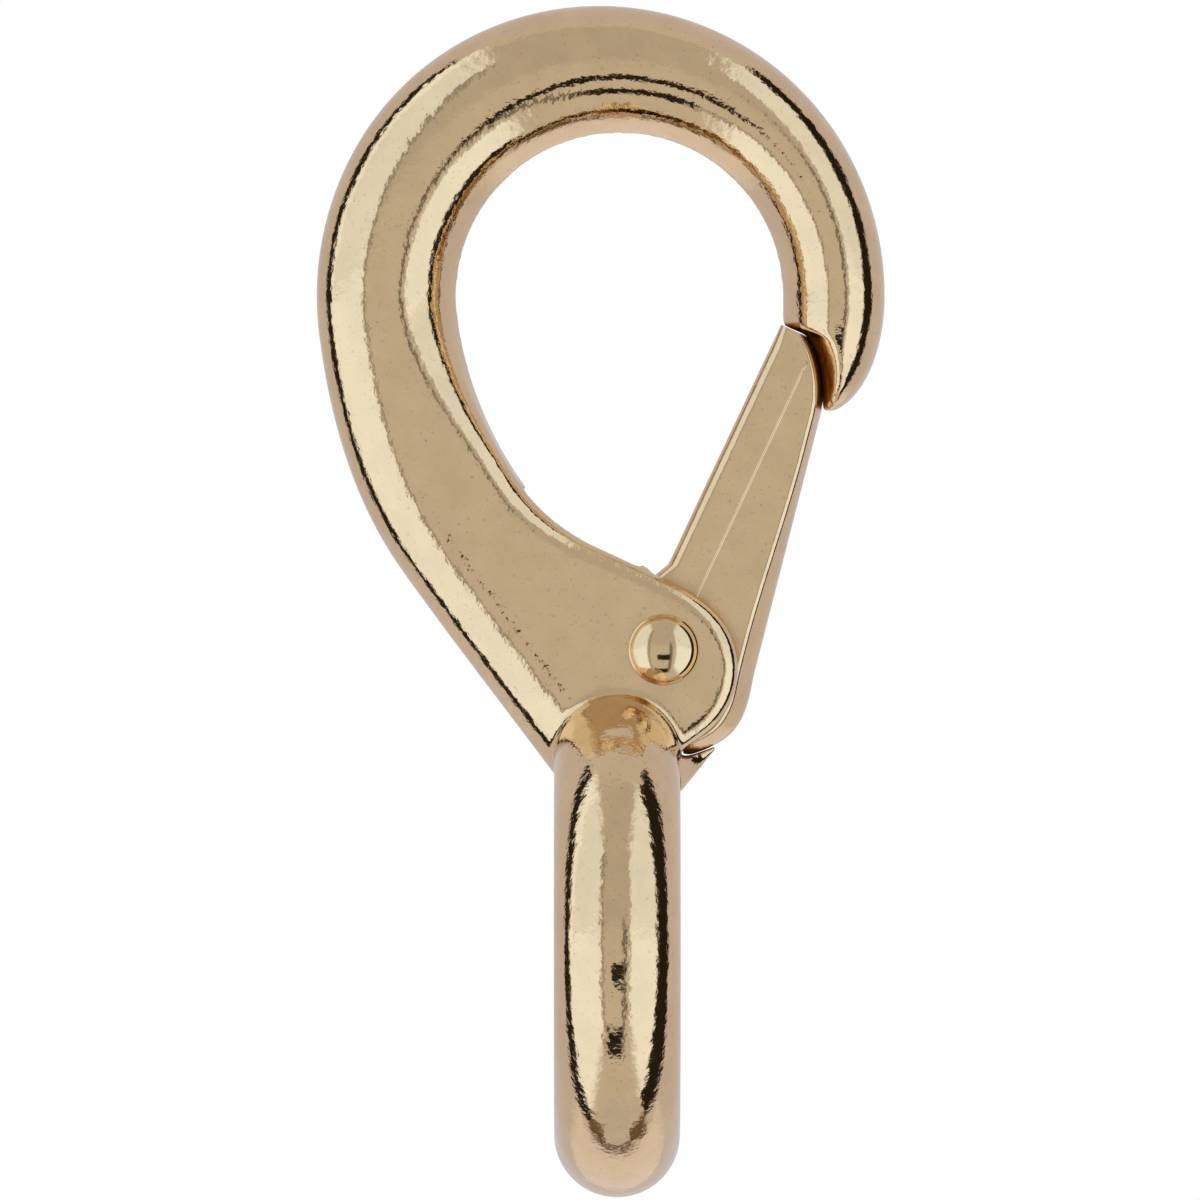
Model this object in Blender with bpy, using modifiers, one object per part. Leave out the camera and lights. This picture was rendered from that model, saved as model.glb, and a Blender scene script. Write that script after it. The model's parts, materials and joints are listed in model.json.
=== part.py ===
"""Rigid-eye boat snap hook: a cast hook with a crosswise eye, a sprung channel gate, its rivet and spring.

Metres, +Z up. The hook lies in the XZ plane, its thickness runs along Y and is symmetric about Y = 0.
The origin is the inner crown of the hook loop, where the snap hangs. The eye is below, its hole along X.
"""

from math import acos, asin, atan2, cos, degrees, pi, radians, sin, sqrt

import bmesh
import bpy
from mathutils import Vector
from mathutils.geometry import interpolate_bezier

# Hook bar
LOOP_RADIUS = 0.01255        # inside radius of the loop
NOSE_WIDTH = 0.0079          # bar width, inside to outside, beside the nose
BACK_WIDTH = 0.0108          # bar width down the back of the loop
THROAT_WIDTH = 0.0115        # bar width where the slot starts
THICKNESS = 0.00924          # front to back, bar and cheeks
NOSE_LENGTH = 0.00885        # straight nose below the middle of the loop
NOSE_TIP_WIDTH = 0.0040      # what is left of the width at the end of the nose
NOSE_TIP_THICKNESS = 0.0058
WIDEN_ANGLE = radians(150)   # the bar widens over this much of the loop
INNER_ROUND = 0.0032         # rounding of the bar's inner side, seen from the front
OUTER_ROUND = 0.0046

# Back, throat and ears: tangent arcs and straights, followed down from the loop
LOOP_TURN = radians(187.3)
BACK_RADIUS = 0.02834
BACK_TURN = radians(28.3)
THROAT_RADIUS = 0.0152
THROAT_TURN = radians(28.4)
EAR_RUN = 0.0068
EAR_SHOULDER_RADIUS = 0.01056
EAR_SHOULDER_TURN = radians(-19.9)
EAR_TIP_RADIUS = 0.00615
EAR_TIP_TURN = radians(-98.2)
EAR_FOOT = 0.0026
EAR_THICKNESS = 0.0019
EAR_EDGE = 0.0011            # rounding along the ears' edge

# Pivot, rivet and clearances
PIVOT_FROM_EAR_TIP = Vector((0.00041, 0.001465))
RIVET_RADIUS = 0.0016
RIVET_HEAD_RADIUS = 0.0027
RIVET_HEAD_RIM = 0.00035
RIVET_HEAD_HEIGHT = 0.0013
RUNNING_GAP = 0.0003         # between pieces that turn or rest on each other
SEAT_GAP = 0.0002            # under a rivet head

# Eye
EYE_BAR = 0.0097
EYE_HOLE = 0.0199
EYE_FROM_PIVOT = Vector((-0.00356, -0.00776))   # to the middle of the eye's bar at its top
WEB_EDGE = 0.0007            # thickness of the neck web along its outer edge

# Gate
GATE_FLANGE = 0.0011
GATE_WEB = 0.0012
GATE_EDGE = 0.0004
GATE_INSIDE = 0.00243        # pivot to the line of the gate's inner edge
GATE_OUTSIDE = 0.00725       # pivot to the line of the gate's outer face
GATE_LOBE = 0.0056
GATE_HEEL = 0.00835
HEEL_START = radians(-56)
HEEL_END = radians(-79)
TIP_RADIUS = 0.0080          # arc of the gate's tip, which the nose is cut to
TIP_REACH = 0.00315          # gate tip past the loop's inside line
TIP_DROP = 0.00735           # middle of the tip's arc below the middle of the loop
GATE_TOP_DROP = 0.00224      # top of the gate's inner corner below the middle of the loop
TIP_INSET = 0.0001           # gate's inner corner inside the loop's inside line
CUT_FLARE = 0.0013           # how much further the cut goes at the bar's faces than in its middle

# Slot
SLOT_STEP = 0.0016           # depth of the slot at its upper end
SLOT_BELOW = 0.0004          # from the last section of the bar down to the slot's step
SLOT_MARGIN = 0.0006         # round the gate's lobe

# Spring
WIRE_RADIUS = 0.000275
COIL_ROUND_RIVET = 0.0007    # from the rivet out to the middle of the wire
COIL_TURNS = 2
LEG_ON_FLOOR = 0.46          # where the fixed leg meets the slot's floor, as a share of the floor
LEG_ON_GATE = 0.0090         # where the moving leg meets the gate's web, above the pivot

CORNER_STEPS = 5             # points on each rounded corner of a section
TURN_STEPS = 28              # points on a full turn of the smaller round pieces

LOOP_CENTRE = Vector((0.0, -LOOP_RADIUS))
HALF = THICKNESS / 2
SLOT_HALF = HALF - EAR_THICKNESS
GATE_HALF = SLOT_HALF - RUNNING_GAP
CHANNEL_HALF = GATE_HALF - GATE_FLANGE
HOLE_RADIUS = RIVET_RADIUS + RUNNING_GAP
COIL_RADIUS = RIVET_RADIUS + COIL_ROUND_RIVET


def new_collection(name):
    collection = bpy.data.collections.new(name)
    bpy.context.scene.collection.children.link(collection)
    return collection


def clear_scene():
    for obj in list(bpy.data.objects):
        bpy.data.objects.remove(obj, do_unlink=True)


def add(name, mesh, collection, material=None):
    obj = bpy.data.objects.new(name, mesh)
    collection.objects.link(obj)
    if material:
        mesh.materials.append(material)
    return obj


def helper(obj):
    """Marks a cutter or a shape that only joins another: it is drawn as wire and never rendered."""
    obj.hide_render = True
    obj.display_type = "WIRE"
    return obj


def metal(name, colour, roughness):
    material = bpy.data.materials.new(name)
    material.use_nodes = True
    shader = material.node_tree.nodes["Principled BSDF"]
    shader.inputs["Base Color"].default_value = (*colour, 1.0)
    shader.inputs["Metallic"].default_value = 1.0
    shader.inputs["Roughness"].default_value = roughness
    return material


def polar(centre, radius, angle):
    return centre + radius * Vector((cos(angle), sin(angle)))


def arc(centre, radius, start, end, steps):
    return [polar(centre, radius, start + (end - start) * i / steps) for i in range(steps + 1)]


def smooth_step(t):
    t = min(max(t, 0.0), 1.0)
    return t * t * (3 - 2 * t)


def mix(a, b, t):
    return a + (b - a) * t


def walk(start, heading, moves):
    """Follows arcs (radius, turn, steps) and straights (None, length, steps). Left turns are positive.

    Returns the points, the heading at each, and the middle of each arc.
    """
    points, headings, centres = [Vector(start)], [heading], []
    for radius, amount, steps in moves:
        origin, first = points[-1], headings[-1]
        if radius is None:
            forward = Vector((cos(first), sin(first)))
            points += [origin + forward * amount * i / steps for i in range(1, steps + 1)]
            headings += [first] * steps
            continue
        side = 1 if amount > 0 else -1
        centre = origin + side * radius * Vector((-sin(first), cos(first)))
        centres.append(centre)
        for i in range(1, steps + 1):
            turned = first + amount * i / steps
            points.append(centre - side * radius * Vector((-sin(turned), cos(turned))))
            headings.append(turned)
    return points, headings, centres


NOSE_STEPS, LOOP_STEPS, BACK_STEPS = 6, 26, 5
BAR_STEPS = NOSE_STEPS + LOOP_STEPS + BACK_STEPS
INNER, HEADINGS, CENTRES = walk(
    LOOP_CENTRE + Vector((LOOP_RADIUS, -NOSE_LENGTH)),
    pi / 2,
    [
        (None, NOSE_LENGTH, NOSE_STEPS),
        (LOOP_RADIUS, LOOP_TURN, LOOP_STEPS),
        (BACK_RADIUS, BACK_TURN, BACK_STEPS),
        (THROAT_RADIUS, THROAT_TURN, 4),
        (None, EAR_RUN, 2),
        (EAR_SHOULDER_RADIUS, EAR_SHOULDER_TURN, 2),
        (EAR_TIP_RADIUS, EAR_TIP_TURN, 8),
        (None, EAR_FOOT, 2),
    ],
)
PIVOT = CENTRES[-1] + PIVOT_FROM_EAR_TIP
EYE_TOP = PIVOT + EYE_FROM_PIVOT
EYE_CENTRE = EYE_TOP - Vector((0, (EYE_HOLE + EYE_BAR) / 2))
TIP_CENTRE = LOOP_CENTRE + Vector((LOOP_RADIUS + TIP_REACH - TIP_RADIUS, -TIP_DROP))
GATE_CORNER = LOOP_CENTRE + Vector((LOOP_RADIUS - TIP_INSET, -GATE_TOP_DROP))
GATE_REACH = (GATE_CORNER - PIVOT).length    # the end of the gate is an arc about the pivot
THROAT = INNER[BAR_STEPS]
THROAT_OUT = Vector((sin(HEADINGS[BAR_STEPS]), -cos(HEADINGS[BAR_STEPS])))
THROAT_DOWN = Vector((-THROAT_OUT.y, THROAT_OUT.x))
SLOT_START = THROAT + THROAT_DOWN * SLOT_BELOW


def above_pivot(x, radius):
    """The point at x on the upper arc of this radius about the pivot."""
    return Vector((x, PIVOT.y + sqrt(radius**2 - (x - PIVOT.x) ** 2)))


def tip_top(centre, radius, reach):
    """Angle on the tip's arc where it meets the arc of this reach about the pivot."""
    apart = centre - PIVOT
    along = (apart.length_squared + radius**2 - reach**2) / (2 * apart.length)
    return atan2(-apart.y, -apart.x) + acos(along / radius)


def in_space(point, y):
    return Vector((point.x, y, point.y))


def loft(name, rings, collection, material=None):
    """A closed skin over rings of the same number of points, flat at both ends."""
    bm = bmesh.new()
    rows = [[bm.verts.new(point) for point in ring] for ring in rings]
    count = len(rows[0])
    for near, far in zip(rows, rows[1:]):
        for i in range(count):
            bm.faces.new((near[i], near[(i + 1) % count], far[(i + 1) % count], far[i]))
    bm.faces.new(rows[0])
    bm.faces.new(rows[-1])
    bmesh.ops.recalc_face_normals(bm, faces=bm.faces)
    mesh = bpy.data.meshes.new(name)
    bm.to_mesh(mesh)
    bm.free()
    return add(name, mesh, collection, material)


def layered(name, outline_at, levels, collection):
    """A loft along Y of the outline at each level."""
    return helper(loft(name, [[in_space(p, y) for p in outline_at(y)] for y in levels], collection))


def plate(name, outline, half, collection, edge=0.0, material=None):
    """A flat outline in the XZ plane with half its thickness either side of Y = 0, its edges rounded."""
    curve = bpy.data.curves.new(name, "CURVE")
    curve.dimensions = "2D"
    curve.fill_mode = "BOTH"
    curve.extrude = half - edge
    curve.bevel_depth = edge
    curve.offset = -edge
    curve.bevel_resolution = 1
    spline = curve.splines.new("POLY")
    spline.points.add(len(outline) - 1)
    for point, place in zip(spline.points, outline):
        point.co = (place.x, place.y, 0, 1)
    spline.use_cyclic_u = True
    flat = add(name + "_outline", curve, collection)
    flat.rotation_euler = (pi / 2, 0, 0)
    return solid_of_curve(flat, name, collection, material)


def solid_of_curve(flat, name, collection, material=None):
    """The curve object as a mesh, its caps welded on, in world space."""
    bpy.context.view_layer.update()
    mesh = bpy.data.meshes.new_from_object(flat.evaluated_get(bpy.context.evaluated_depsgraph_get()))
    mesh.transform(flat.matrix_world)
    bpy.data.objects.remove(flat, do_unlink=True)
    bm = bmesh.new()
    bm.from_mesh(mesh)
    bmesh.ops.remove_doubles(bm, verts=bm.verts, dist=1e-7)
    bmesh.ops.recalc_face_normals(bm, faces=bm.faces)
    bm.to_mesh(mesh)
    bm.free()
    mesh.materials.clear()
    return add(name, mesh, collection, material)


def boolean(obj, operation, other):
    modifier = obj.modifiers.new(other.name, "BOOLEAN")
    modifier.operation = operation
    modifier.object = other
    modifier.solver = "EXACT"


def section(inner, outer, half, inner_round, outer_round):
    """A ring across the bar. Each rounding is its extent across the bar and its extent along Y."""
    width = (outer - inner).length
    across = (outer - inner) / width
    front = []
    for i in range(CORNER_STEPS + 1):
        a = pi / 2 * i / CORNER_STEPS
        front.append((inner_round[0] * (1 - cos(a)), half - inner_round[1] * (1 - sin(a))))
    for i in range(CORNER_STEPS + 1):
        a = pi / 2 * i / CORNER_STEPS
        front.append((width - outer_round[0] * (1 - sin(a)), half - outer_round[1] * (1 - cos(a))))
    ring = [in_space(inner + across * u, -y) for u, y in front]
    return ring + [in_space(inner + across * u, y) for u, y in reversed(front)]


def bar_sections():
    """From the end of the nose, round the loop and down the back to where the slot starts."""
    rings = []
    for i in range(BAR_STEPS + 1):
        inner, heading = INNER[i], HEADINGS[i]
        outward = Vector((sin(heading), -cos(heading)))
        round_loop = heading - pi / 2
        width = mix(NOSE_WIDTH, BACK_WIDTH, smooth_step(round_loop / WIDEN_ANGLE))
        width = mix(width, THROAT_WIDTH, smooth_step((round_loop - LOOP_TURN) / BACK_TURN))
        down_nose = max(0.0, 1 - i / NOSE_STEPS)
        blunt = (1 - sqrt(1 - 0.95 * down_nose**2)) / (1 - sqrt(1 - 0.95))
        width = mix(width, NOSE_TIP_WIDTH, blunt)
        half = mix(HALF, NOSE_TIP_THICKNESS / 2, blunt)
        to_cheek = smooth_step((round_loop - pi / 2) / (LOOP_TURN + BACK_TURN - pi / 2))
        inner_across = min(mix(INNER_ROUND, EAR_EDGE, to_cheek), 0.4 * width)
        inner_along = mix(0.92 * half, EAR_EDGE, to_cheek**2)
        outer_across = min(OUTER_ROUND, 0.5 * width)
        outer = inner + outward * width
        rings.append(section(inner, outer, half, (inner_across, inner_along), (outer_across, 0.92 * half)))
    return rings


def cheek_sections():
    """Below the slot's start the sections fan out, from the ears' edge to the straight back of the neck."""
    count = len(INNER) - 1 - BAR_STEPS
    start = THROAT + THROAT_OUT * THROAT_WIDTH
    end = EYE_TOP + Vector((-EYE_BAR / 2, -0.19 * EYE_BAR))
    reach = 0.35 * (end - start).length
    toward = (end - start).normalized()
    before_end = end - toward * reach
    back = [p.to_2d() for p in interpolate_bezier(
        start.to_3d(), (start + THROAT_DOWN * reach).to_3d(), before_end.to_3d(), end.to_3d(), count + 1)]
    rings = []
    for i in range(1, count + 1):
        inner, outer = INNER[BAR_STEPS + i], back[i]
        line = (outer - inner).normalized()
        edge_way = Vector((cos(HEADINGS[BAR_STEPS + i]), sin(HEADINGS[BAR_STEPS + i])))
        slant = max(abs(line.cross(edge_way)), 0.35)
        back_way = (back[i] - back[i - 1]).normalized()
        back_slant = max(abs(line.cross(back_way)), 0.35)
        rings.append(section(inner, outer, HALF, (EAR_EDGE / slant, EAR_EDGE),
                             (OUTER_ROUND / back_slant, 0.92 * HALF)))
    inside_left = EYE_TOP + EYE_BAR * Vector((-0.32, -0.28))
    inside_right = EYE_TOP + EYE_BAR * Vector((0.32, -0.18))
    rings.append(section(inside_right, inside_left, 0.96 * HALF, (EAR_EDGE, EAR_EDGE),
                         (0.3 * EYE_BAR, 0.92 * HALF)))
    return rings


def nose_cut(cutters):
    """What the gate's tip needs cleared from the nose, cut back further towards the bar's faces."""
    left = LOOP_RADIUS - INNER_ROUND
    below = LOOP_CENTRE.y - NOSE_LENGTH - 0.002

    def outline(y):
        flare = CUT_FLARE * (y / HALF) ** 2
        centre = TIP_CENTRE + Vector((flare, 0))
        radius = TIP_RADIUS + RUNNING_GAP
        reach = GATE_REACH + RUNNING_GAP + 0.3 * flare
        curve = arc(centre, radius, 0, tip_top(centre, radius, reach), 6)
        last = curve[-1].x
        top = [above_pivot(mix(last, left, share), reach) for share in (0.25, 0.5, 1)]
        return [Vector((left, below)), Vector((curve[0].x, below)), *curve, *top]

    levels = [HALF * share for share in (-1.2, -1, -0.75, -0.5, -0.25, 0.25, 0.5, 0.75, 1, 1.2)]
    return layered("nose_cutter", outline, levels, cutters)


def slot_floor():
    """The two ends of the slot's straight floor: its step in the throat, and where it meets the arc."""
    step = SLOT_START + THROAT_OUT * SLOT_STEP
    clear = GATE_LOBE + SLOT_MARGIN
    from_pivot = step - PIVOT
    touch = atan2(from_pivot.y, from_pivot.x) + acos(clear / from_pivot.length)
    return step, touch % (2 * pi)


def slot_cutter(cutters):
    step, touch = slot_floor()
    clear, heel = GATE_LOBE + SLOT_MARGIN, GATE_HEEL + RUNNING_GAP
    heel_stop = 2 * pi + HEEL_END - radians(6)
    past_right = CENTRES[-1].x + EAR_TIP_RADIUS + 0.004
    outline = [SLOT_START - THROAT_OUT * SLOT_STEP, step]
    outline += arc(PIVOT, clear, touch, heel_stop, 8)
    outline += arc(PIVOT, heel, heel_stop, 2 * pi + radians(-40), 5)
    outline += [Vector((past_right, outline[-1].y)), Vector((past_right, THROAT.y)),
                Vector((PIVOT.x, THROAT.y + SLOT_STEP))]
    return helper(plate("slot_cutter", outline, SLOT_HALF, cutters))


def neck_web(cutters):
    """The web that closes the slot's lower end. It thins to a ridge along its outer edge."""
    tip = polar(PIVOT, GATE_HEEL + RUNNING_GAP, radians(-57))
    root_high = EYE_TOP + EYE_BAR * Vector((0.30, 0.0))
    root_low = EYE_TOP + EYE_BAR * Vector((0.30, -0.38))
    side_low = EYE_TOP + EYE_BAR * Vector((0.505, -0.33))
    side_high = EYE_TOP + EYE_BAR * Vector((0.505, 0.02))

    def outline(y):
        scoop = sqrt(max(0.0, (abs(y) - WEB_EDGE / 2) / (SLOT_HALF + 0.0002 - WEB_EDGE / 2)))
        return [root_high, mix(tip, side_high, scoop), mix(mix(tip, side_low, 0.45), side_low, scoop),
                side_low, root_low]

    thin = WEB_EDGE / 2
    wide = SLOT_HALF + 0.0002
    steps = [thin + (wide - thin) * share for share in (0, 0.15, 0.4, 0.7, 1)]
    return layered("neck_web", outline, [-s for s in reversed(steps)] + steps, cutters)


def eye_ring(cutters):
    bpy.ops.mesh.primitive_torus_add(
        major_segments=44, minor_segments=20, major_radius=(EYE_HOLE + EYE_BAR) / 2,
        minor_radius=EYE_BAR / 2, location=in_space(EYE_CENTRE, 0), rotation=(0, pi / 2, 0))
    ring = bpy.context.object
    ring.name = "eye_ring"
    move_to(ring, cutters)
    return helper(ring)


def move_to(obj, collection):
    for holder in list(obj.users_collection):
        holder.objects.unlink(obj)
    collection.objects.link(obj)


def pivot_drill(name, radius, cutters):
    bpy.ops.mesh.primitive_cylinder_add(
        vertices=TURN_STEPS, radius=radius, depth=2 * THICKNESS,
        location=in_space(PIVOT, 0), rotation=(pi / 2, 0, 0))
    drill = bpy.context.object
    drill.name = name
    move_to(drill, cutters)
    return helper(drill)


def hook_body(parts, cutters):
    body = loft("hook_body", bar_sections() + cheek_sections(), parts,
                metal("cast_plated", (0.78, 0.60, 0.36), 0.22))
    boolean(body, "UNION", eye_ring(cutters))
    boolean(body, "UNION", neck_web(cutters))
    boolean(body, "DIFFERENCE", slot_cutter(cutters))
    boolean(body, "DIFFERENCE", pivot_drill("ear_drill", HOLE_RADIUS, cutters))
    boolean(body, "DIFFERENCE", nose_cut(cutters))
    shade(body)
    return body


def shade(obj):
    obj.data.shade_smooth()
    obj.data.set_sharp_from_angle(angle=radians(35))


def gate_sides():
    """The gate's inner edge line and outer face line: for each, its lean from vertical."""
    to_corner = GATE_CORNER - PIVOT
    inside_lean = atan2(to_corner.x, to_corner.y) + asin(GATE_INSIDE / to_corner.length)
    to_low = TIP_CENTRE + Vector((TIP_RADIUS, 0)) - PIVOT
    outside_lean = atan2(to_low.x, to_low.y) - asin(GATE_OUTSIDE / to_low.length)
    return inside_lean, outside_lean


def gate_back(inset):
    """Outer face of the gate from the tip's arc down round the heel, moved inwards by inset."""
    _, outside_lean = gate_sides()
    rise = tip_top(TIP_CENTRE, TIP_RADIUS - inset, GATE_REACH - inset)
    points = arc(TIP_CENTRE, TIP_RADIUS - inset, rise, 0, 6)
    first, steps = -outside_lean, 6
    for i in range(steps + 1):
        angle = mix(first, HEEL_START, i / steps)
        radius = mix(GATE_OUTSIDE, GATE_HEEL, smooth_step(i / steps))
        points.append(polar(PIVOT, radius - inset, angle))
    return points + arc(PIVOT, GATE_HEEL - inset, HEEL_START, HEEL_END, 3)[1:]


def gate(parts, cutters):
    inside_lean, _ = gate_sides()
    inward = Vector((-cos(inside_lean), sin(inside_lean)))
    upward = Vector((sin(inside_lean), cos(inside_lean)))
    neck_height = sqrt(GATE_LOBE**2 - GATE_INSIDE**2)
    meet = PIVOT + inward * GATE_INSIDE + upward * neck_height
    lobe_start = atan2((meet - PIVOT).y, (meet - PIVOT).x)
    back = gate_back(0.0)
    outline = [GATE_CORNER, above_pivot(mix(GATE_CORNER.x, back[0].x, 0.5), GATE_REACH)] + back
    outline += arc(PIVOT, GATE_LOBE, HEEL_END, lobe_start + radians(9) - 2 * pi, 14)
    outline.append(meet + upward * 0.0011)
    plating = metal("gate_plated", (0.80, 0.62, 0.38), 0.25)
    body = plate("gate", outline, GATE_HALF, parts, GATE_EDGE, plating)

    hollow = gate_back(GATE_WEB)
    hollow += [polar(PIVOT, GATE_HEEL - GATE_WEB, HEEL_END - radians(12)),
               polar(PIVOT, 2 * GATE_LOBE, radians(-120)), polar(PIVOT, 2 * GATE_LOBE, radians(170)),
               GATE_CORNER + inward * GATE_INSIDE - upward * GATE_WEB * 1.6]
    boolean(body, "DIFFERENCE", helper(plate("channel_cutter", hollow, CHANNEL_HALF, cutters)))
    boolean(body, "DIFFERENCE", pivot_drill("gate_drill", HOLE_RADIUS, cutters))
    shade(body)
    hang_on_pivot(body)
    return body


def hang_on_pivot(obj):
    """Puts the object's origin on the pivot's axis, its points where they were."""
    axis = in_space(PIVOT, 0)
    for vertex in obj.data.vertices:
        vertex.co -= axis
    obj.location = axis


def rivet(parts):
    """A turned rivet with a domed head on each cheek. Its profile runs down the outer side."""
    seat = HALF + SEAT_GAP
    rim = seat + RIVET_HEAD_RIM
    dome = [(RIVET_HEAD_RADIUS * sin(a), rim + (RIVET_HEAD_HEIGHT - RIVET_HEAD_RIM) * cos(a))
            for a in (radians(15 * i) for i in range(7))]
    upper = dome + [(RIVET_HEAD_RADIUS, seat), (RIVET_RADIUS, seat)]
    profile = upper + [(r, -z) for r, z in reversed(upper)]
    mesh = bpy.data.meshes.new("pivot_rivet")
    mesh.from_pydata([(r, 0, z) for r, z in profile], [(i, i + 1) for i in range(len(profile) - 1)], [])
    turned = add("pivot_rivet", mesh, parts, metal("rivet_plated", (0.80, 0.63, 0.40), 0.18))
    screw = turned.modifiers.new("turn", "SCREW")
    screw.axis = "Z"
    screw.steps = screw.render_steps = TURN_STEPS
    screw.use_merge_vertices = True
    screw.merge_threshold = 1e-6
    turned.location = in_space(PIVOT, 0)
    turned.rotation_euler = (pi / 2, 0, 0)
    return turned


def tangent_angle(point, side):
    """Angle on the coil where a straight leg to the point leaves it."""
    away = point - PIVOT
    return atan2(away.y, away.x) + side * acos(COIL_RADIUS / away.length)


def torsion_spring(parts):
    """A coil round the rivet inside the channel, one leg on the slot's floor, one on the gate's web."""
    step, touch = slot_floor()
    floor_low = polar(PIVOT, GATE_LOBE + SLOT_MARGIN, touch)
    off_floor = (floor_low - step).normalized().orthogonal()
    if off_floor.dot(PIVOT - step) < 0:
        off_floor = -off_floor
    clear = WIRE_RADIUS + RUNNING_GAP
    fixed_end = mix(step, floor_low, LEG_ON_FLOOR) + off_floor * clear
    _, lean = gate_sides()
    outward, upward = Vector((cos(lean), -sin(lean))), Vector((sin(lean), cos(lean)))
    moving_end = PIVOT + outward * (GATE_OUTSIDE - GATE_WEB - clear) + upward * LEG_ON_GATE
    start = tangent_angle(fixed_end, 1)
    end = tangent_angle(moving_end, -1)
    while end < start + 2 * pi * COIL_TURNS:
        end += 2 * pi
    reach = CHANNEL_HALF - WIRE_RADIUS - 0.0002
    steps = round(degrees(end - start) / 20)
    path = [in_space(fixed_end, -reach)]
    for i in range(steps + 1):
        turned = i / steps
        round_pivot = polar(PIVOT, COIL_RADIUS, mix(start, end, turned))
        path.append(in_space(round_pivot, mix(-reach, reach, turned)))
    path.append(in_space(moving_end, reach))

    curve = bpy.data.curves.new("torsion_spring", "CURVE")
    curve.dimensions = "3D"
    curve.bevel_depth = WIRE_RADIUS
    curve.bevel_resolution = 1
    curve.use_fill_caps = True
    spline = curve.splines.new("POLY")
    spline.points.add(len(path) - 1)
    for point, place in zip(spline.points, path):
        point.co = (*place, 1)
    wire = add("torsion_spring_path", curve, parts)
    return solid_of_curve(wire, "torsion_spring", parts, metal("spring_steel", (0.55, 0.54, 0.52), 0.3))


def main():
    clear_scene()
    parts = new_collection("snap_hook")
    cutters = new_collection("cutters")
    hook_body(parts, cutters)
    gate(parts, cutters)
    rivet(parts)
    torsion_spring(parts)


main()
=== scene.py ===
"""Looks of the rigid-eye snap hook: fine meshes and plated-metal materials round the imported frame.

Metres, in the frame's own axes: +Z up, the hook in the XZ plane, its thickness along Y.
"""

import json
from math import acos, asin, atan2, cos, degrees, pi, radians, sin, sqrt

import bmesh
import bpy
from mathutils import Matrix, Vector
from mathutils.geometry import interpolate_bezier


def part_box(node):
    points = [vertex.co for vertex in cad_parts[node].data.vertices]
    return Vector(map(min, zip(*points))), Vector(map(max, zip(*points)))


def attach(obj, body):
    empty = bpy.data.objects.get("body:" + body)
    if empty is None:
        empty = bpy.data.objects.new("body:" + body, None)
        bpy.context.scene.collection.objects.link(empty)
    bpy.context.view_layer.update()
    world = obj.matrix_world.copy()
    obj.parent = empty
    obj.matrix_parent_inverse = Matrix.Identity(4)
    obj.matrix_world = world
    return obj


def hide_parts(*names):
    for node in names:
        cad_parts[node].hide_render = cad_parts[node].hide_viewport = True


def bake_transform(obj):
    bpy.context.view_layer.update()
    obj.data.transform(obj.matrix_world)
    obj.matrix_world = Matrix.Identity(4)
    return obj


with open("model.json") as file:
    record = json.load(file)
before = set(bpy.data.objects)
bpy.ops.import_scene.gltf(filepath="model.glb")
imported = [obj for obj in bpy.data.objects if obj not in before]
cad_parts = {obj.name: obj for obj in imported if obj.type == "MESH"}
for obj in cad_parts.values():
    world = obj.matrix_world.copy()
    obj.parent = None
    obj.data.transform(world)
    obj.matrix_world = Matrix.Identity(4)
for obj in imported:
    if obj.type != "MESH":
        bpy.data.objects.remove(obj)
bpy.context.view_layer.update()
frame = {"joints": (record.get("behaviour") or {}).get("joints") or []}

# Casting, the same sizes as the frame's hook_body. HALF sizes are along Y, TURNs are round the arcs.
LOOP_RADIUS, LOOP_TURN = 0.01255, radians(187.3)
BACK_RADIUS, BACK_TURN = 0.02834, radians(28.3)
THROAT_RADIUS, THROAT_TURN = 0.0152, radians(28.4)
EAR_RUN = 0.0068
EAR_SHOULDER_RADIUS, EAR_SHOULDER_TURN = 0.01056, radians(-19.9)
EAR_TIP_RADIUS, EAR_TIP_TURN = 0.00615, radians(-98.2)
EAR_FOOT = 0.0026
NOSE_WIDTH, BACK_WIDTH, THROAT_WIDTH = 0.0079, 0.0108, 0.0115
HALF = 0.00462
NOSE_LENGTH, NOSE_TIP_WIDTH, NOSE_TIP_HALF = 0.00885, 0.0040, 0.0029
NOSE_ROUNDNESS = 0.95             # how far the nose's end has closed, as a share of a full ellipse
WIDEN_ANGLE = radians(150)
EYE_BAR = 0.0097
EYE_FROM_PIVOT = Vector((-0.00356, -0.00776))

# Casting, how its sections are rounded
INNER_SHARE = (0.555, 0.444)      # of the bar's width, for the inner rounding at the nose and at the back
OUTER_SHARE = (0.42, 0.47)        # the same for the outer rounding
CHEEK_OUTER = 0.0050              # the outer rounding of the cheeks
RIDGE_LEFT = 0.73                 # how far the ears' profile has turned square where the slot starts
SQUARE_AHEAD = radians(4)         # how long before the loop's end it begins to turn
EAR_THICKNESS, EAR_EDGE = 0.0019, 0.0011
LEAST_SLANT = 0.35                # keeps the ears' fillet short where a section runs along their edge
WEB_EDGE, WEB_INTO_EARS = 0.0007, 0.0002
WEB_TIP_ANGLE = radians(-57)
NUB_FROM_PIVOT, NUB_RADIUS, NUB_STRETCH = Vector((-0.0016, 0.0061)), 0.0006, (1.0, 1.3, 0.7, 1)

# Slot, and the cut in the nose
SLOT_STEP, SLOT_BELOW, SLOT_MARGIN = 0.0016, 0.0004, 0.0006
SLOT_TOP_ANGLE, STOP_BEHIND_HEEL = radians(-40), radians(2.5)
CUT_FLARE, TIP_SEAT = 0.0015, 0.00022
TIP_GAP, HEEL_GAP = 0.00009, 0.00004
PAST_SIDE, PAST_END = 0.004, 0.002    # how far the cutters run past what they cut

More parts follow.
